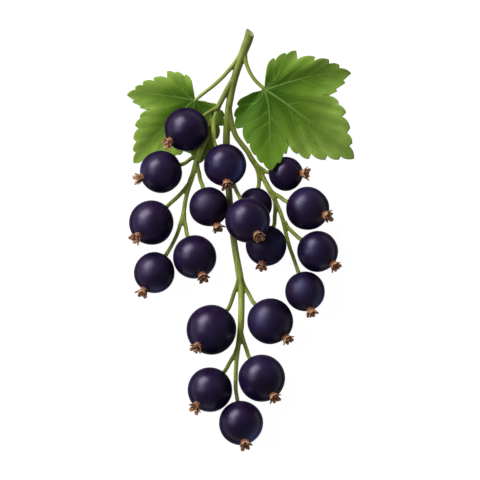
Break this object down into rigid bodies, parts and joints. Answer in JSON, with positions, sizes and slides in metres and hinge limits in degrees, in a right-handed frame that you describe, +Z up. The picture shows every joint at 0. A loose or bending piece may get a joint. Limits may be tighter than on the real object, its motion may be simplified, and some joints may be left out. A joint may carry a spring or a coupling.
{
  "type": "blackcurrant sprig",
  "caption": "Picked sprig of ripe blackcurrants lying on its side: glossy round berries with dry calyces on a branching green stem, with lobed toothed leaves.",
  "frame": {"origin": "on the surface that the sprig lies on, under the middle of its bounding box", "axes": "+Z up from the surface, +Y towards the cut end of the stem, +X to the right when the cut end points away from the viewer"},
  "size_m": [0.0616, 0.1136, 0.0211],
  "materials": {
    "berry_skin": "waxy gloss",
    "calyx": "dry and matt",
    "stem": "satin",
    "leaf": "satin"
  },
  "bodies": {
    "root": {"stem": "stem", "leaf_left": "leaf", "leaf_right": "leaf", "berry_01": "berry_skin", "berry_02": "berry_skin", "berry_03": "berry_skin", "berry_04": "berry_skin", "berry_05": "berry_skin", "berry_06": "berry_skin", "berry_07": "berry_skin", "berry_08": "berry_skin", "berry_09": "berry_skin", "berry_10": "berry_skin", "berry_11": "berry_skin", "berry_12": "berry_skin", "berry_13": "berry_skin", "berry_14": "berry_skin", "berry_15": "berry_skin", "berry_16": "berry_skin", "berry_17": "berry_skin", "berry_18": "berry_skin", "berry_19": "berry_skin", "calyx_01": "calyx", "calyx_02": "calyx", "calyx_03": "calyx", "calyx_04": "calyx", "calyx_05": "calyx", "calyx_06": "calyx", "calyx_07": "calyx", "calyx_08": "calyx", "calyx_09": "calyx", "calyx_10": "calyx", "calyx_11": "calyx", "calyx_12": "calyx", "calyx_13": "calyx", "calyx_14": "calyx", "calyx_15": "calyx", "calyx_16": "calyx", "calyx_17": "calyx", "calyx_18": "calyx", "calyx_19": "calyx"}
  },
  "joints": []
}
